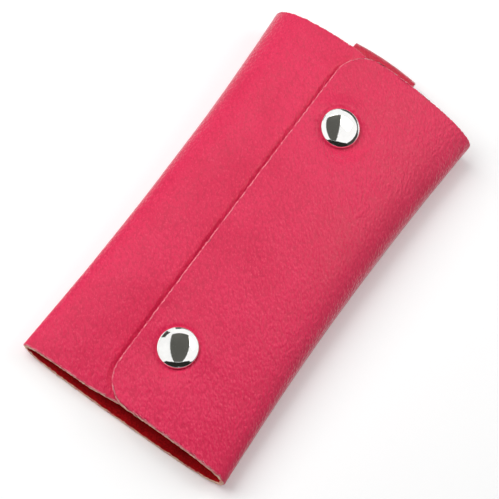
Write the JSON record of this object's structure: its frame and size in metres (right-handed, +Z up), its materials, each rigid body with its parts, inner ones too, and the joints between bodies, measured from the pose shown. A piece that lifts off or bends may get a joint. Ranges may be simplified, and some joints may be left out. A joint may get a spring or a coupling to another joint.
{
  "type": "key case",
  "caption": "Leather key case that wraps round a row of swivel key hooks; its outer flap closes on press studs and a folded leather tab stands past the top end.",
  "frame": {"origin": "middle of the back panel's flat outer face, on which the closed case lies", "axes": "+X to the fold that carries the flap, +Y to the top end with the tab, +Z up through the flap and its press studs"},
  "size_m": [0.061, 0.1214, 0.0183],
  "materials": {
    "case_leather": "pebbled grain, pink-red, semi-matt",
    "strap_leather": "same hide, thinner, darker red",
    "cap_chrome": "mirror polished",
    "stud_steel": "nickel plated, bright",
    "rail_steel": "nickel plated sheet",
    "hook_steel": "nickel plated, bright"
  },
  "bodies": {
    "back": {"back_panel": "case_leather", "hook_strap": "strap_leather", "hook_rail": "rail_steel", "rail_rivet_left": "rail_steel", "rail_rivet_right": "rail_steel", "rivet_disc_left": "rail_steel", "rivet_disc_right": "rail_steel"},
    "right_spine": {"right_spine": "case_leather"},
    "flap": {"front_flap": "case_leather", "lower_cap": "cap_chrome", "upper_cap": "cap_chrome", "lower_socket": "stud_steel", "upper_socket": "stud_steel"},
    "left_spine": {"left_spine": "case_leather"},
    "inner": {"inner_panel": "case_leather", "lower_stud": "stud_steel", "upper_stud": "stud_steel", "lower_post": "stud_steel", "upper_post": "stud_steel"},
    "hook_1": {"key_hook_1": "hook_steel", "gate_pin_1": "hook_steel"},
    "gate_1": {"hook_gate_1": "hook_steel"},
    "hook_2": {"key_hook_2": "hook_steel", "gate_pin_2": "hook_steel"},
    "gate_2": {"hook_gate_2": "hook_steel"},
    "hook_3": {"key_hook_3": "hook_steel", "gate_pin_3": "hook_steel"},
    "gate_3": {"hook_gate_3": "hook_steel"},
    "hook_4": {"key_hook_4": "hook_steel", "gate_pin_4": "hook_steel"},
    "gate_4": {"hook_gate_4": "hook_steel"}
  },
  "joints": [
    {"name": "right_base_fold", "type": "hinge", "parent": "back", "child": "right_spine", "pos_m": [0.022, 0, 0.00028], "axis": [0, 1, 0], "range_deg": [0, 23.3]},
    {"name": "flap_fold", "type": "hinge", "parent": "right_spine", "child": "flap", "pos_m": [0.02676, -0.0566, 0.00795], "axis": [0.0115, 0.9997, 0.0235], "range_deg": [0, 155]},
    {"name": "left_base_fold", "type": "hinge", "parent": "back", "child": "left_spine", "pos_m": [-0.022, 0, 0.00021], "axis": [0, -1, 0], "range_deg": [0, 10.5]},
    {"name": "inner_fold", "type": "hinge", "parent": "left_spine", "child": "inner", "pos_m": [-0.02697, -0.0566, 0.00596], "axis": [0.0115, -0.9987, -0.049], "range_deg": [0, 69.8]},
    {"name": "hook_1_swivel", "type": "hinge", "parent": "back", "child": "hook_1", "pos_m": [-0.01275, 0.0356, 0.0059], "axis": [0, 1, 0], "continuous": true},
    {"name": "gate_1_pivot", "type": "hinge", "parent": "hook_1", "child": "gate_1", "pos_m": [-0.00995, 0.02915, 0.0059], "axis": [0, 0, -1], "range_deg": [0, 25], "stiffness_Nm_per_rad": 0.02},
    {"name": "hook_2_swivel", "type": "hinge", "parent": "back", "child": "hook_2", "pos_m": [-0.00425, 0.0356, 0.0059], "axis": [0, 1, 0], "continuous": true},
    {"name": "gate_2_pivot", "type": "hinge", "parent": "hook_2", "child": "gate_2", "pos_m": [-0.00145, 0.02915, 0.0059], "axis": [0, 0, -1], "range_deg": [0, 25], "stiffness_Nm_per_rad": 0.02},
    {"name": "hook_3_swivel", "type": "hinge", "parent": "back", "child": "hook_3", "pos_m": [0.00425, 0.0356, 0.0059], "axis": [0, 1, 0], "continuous": true},
    {"name": "gate_3_pivot", "type": "hinge", "parent": "hook_3", "child": "gate_3", "pos_m": [0.00705, 0.02915, 0.0059], "axis": [0, 0, -1], "range_deg": [0, 25], "stiffness_Nm_per_rad": 0.02},
    {"name": "hook_4_swivel", "type": "hinge", "parent": "back", "child": "hook_4", "pos_m": [0.01275, 0.0356, 0.0059], "axis": [0, 1, 0], "continuous": true},
    {"name": "gate_4_pivot", "type": "hinge", "parent": "hook_4", "child": "gate_4", "pos_m": [0.01555, 0.02915, 0.0059], "axis": [0, 0, -1], "range_deg": [0, 25], "stiffness_Nm_per_rad": 0.02}
  ],
  "couplings": [
    {"joint": "right_base_fold", "follows": "flap_fold", "ratio": 0.15},
    {"joint": "left_base_fold", "follows": "flap_fold", "ratio": 0.0675},
    {"joint": "inner_fold", "follows": "flap_fold", "ratio": 0.45}
  ]
}
